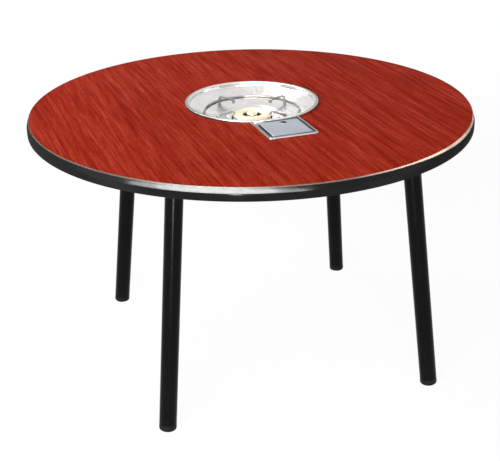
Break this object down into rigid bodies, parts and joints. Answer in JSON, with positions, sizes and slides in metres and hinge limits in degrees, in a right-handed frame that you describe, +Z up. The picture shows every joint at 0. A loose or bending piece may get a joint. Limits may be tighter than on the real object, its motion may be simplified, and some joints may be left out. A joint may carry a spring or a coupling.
{
  "type": "hot-pot dining table",
  "caption": "Round dining table with a sunken stainless gas cooker in its middle, a flap over the gas knob beside it, and splayed tube legs.",
  "frame": {"origin": "floor point under the middle of the round top", "axes": "+Z up, +X to the right and +Y away for someone who faces the control panel's side; the cooker is turned 4 degrees about +Z"},
  "size_m": [1.1998, 1.2, 0.7397],
  "materials": {
    "board": "raw particle board",
    "laminate": "red wood-grain laminate, satin",
    "backing": "plain brown balancing sheet",
    "edging": "glossy black",
    "leg_paint": "satin black powder coat",
    "foot_plastic": "matt black",
    "zinc_steel": "bright zinc",
    "polished_stainless": "polished stainless steel",
    "support_steel": "stainless rod, tinted by heat",
    "brushed_stainless": "brushed stainless steel",
    "galvanised": "galvanised sheet",
    "cast_iron": "rough grey casting",
    "brass": "machined brass",
    "ceramic": "dark glazed ceramic with a steel tip, taken as one material",
    "seal_rubber": "matt black rubber",
    "lead_insulation": "silicone sleeve",
    "knob_plastic": "black heat-proof plastic"
  },
  "bodies": {
    "table": {"table_core": "board", "top_laminate": "laminate", "backing_sheet": "backing", "edge_band": "edging", "leg_bolts": "zinc_steel", "board_screws": "zinc_steel", "drip_bowl": "polished_stainless", "rim_seal": "seal_rubber", "panel_seal": "seal_rubber", "heat_shield_tub": "galvanised", "burner_casting": "cast_iron", "burner_screws": "zinc_steel", "igniter": "ceramic", "flame_sensor": "ceramic", "igniter_lead": "lead_insulation", "sensor_lead": "lead_insulation", "control_panel": "brushed_stainless", "control_well": "brushed_stainless", "hinge_pin": "zinc_steel", "tap_body": "brass", "tap_screws": "zinc_steel", "tap_spring": "zinc_steel", "injector": "brass", "gas_pipe": "zinc_steel", "pipe_nuts": "brass", "gas_inlet": "brass", "clamp_brackets": "galvanised", "clamp_screws": "zinc_steel", "leg_plate_front_left": "leg_paint", "leg_front_left": "leg_paint", "foot_front_left": "foot_plastic", "leg_plate_front_right": "leg_paint", "leg_front_right": "leg_paint", "foot_front_right": "foot_plastic", "leg_plate_back_right": "leg_paint", "leg_back_right": "leg_paint", "foot_back_right": "foot_plastic", "leg_plate_back_left": "leg_paint", "leg_back_left": "leg_paint", "foot_back_left": "foot_plastic", "rail_front": "leg_paint", "rail_right": "leg_paint", "rail_back": "leg_paint", "rail_left": "leg_paint"},
    "flap": {"control_flap": "brushed_stainless"},
    "tap_press": {"spring_seat": "zinc_steel"},
    "tap_knob": {"control_knob": "knob_plastic", "tap_spindle": "brass"},
    "pot_support": {"pot_support": "support_steel"},
    "burner_ring": {"burner_ring": "brass"},
    "burner_cap": {"burner_cap": "brass"}
  },
  "joints": [
    {"name": "flap_hinge", "type": "hinge", "parent": "table", "child": "flap", "pos_m": [0.03072, -0.27628, 0.7345], "axis": [0.9976, 0.0698, 0], "range_deg": [0, 130]},
    {"name": "tap_push", "type": "slide", "parent": "table", "child": "tap_press", "axis": [0, 0, -1], "range_m": [0, 0.003], "stiffness_N_per_m": 1500, "springref_m": -0.002, "deforming": ["tap_spring"]},
    {"name": "tap_turn", "type": "hinge", "parent": "tap_press", "child": "tap_knob", "pos_m": [0.02744, -0.22939, 0.7], "axis": [0, 0, 1], "range_deg": [0, 180]},
    {"name": "pot_support_lift", "type": "slide", "parent": "table", "child": "pot_support", "axis": [0, 0, 1], "range_m": [0, 0.15]},
    {"name": "burner_ring_lift", "type": "slide", "parent": "table", "child": "burner_ring", "axis": [0, 0, 1], "range_m": [0, 0.06]},
    {"name": "burner_cap_lift", "type": "slide", "parent": "table", "child": "burner_cap", "axis": [0, 0, 1], "range_m": [0, 0.06]}
  ]
}
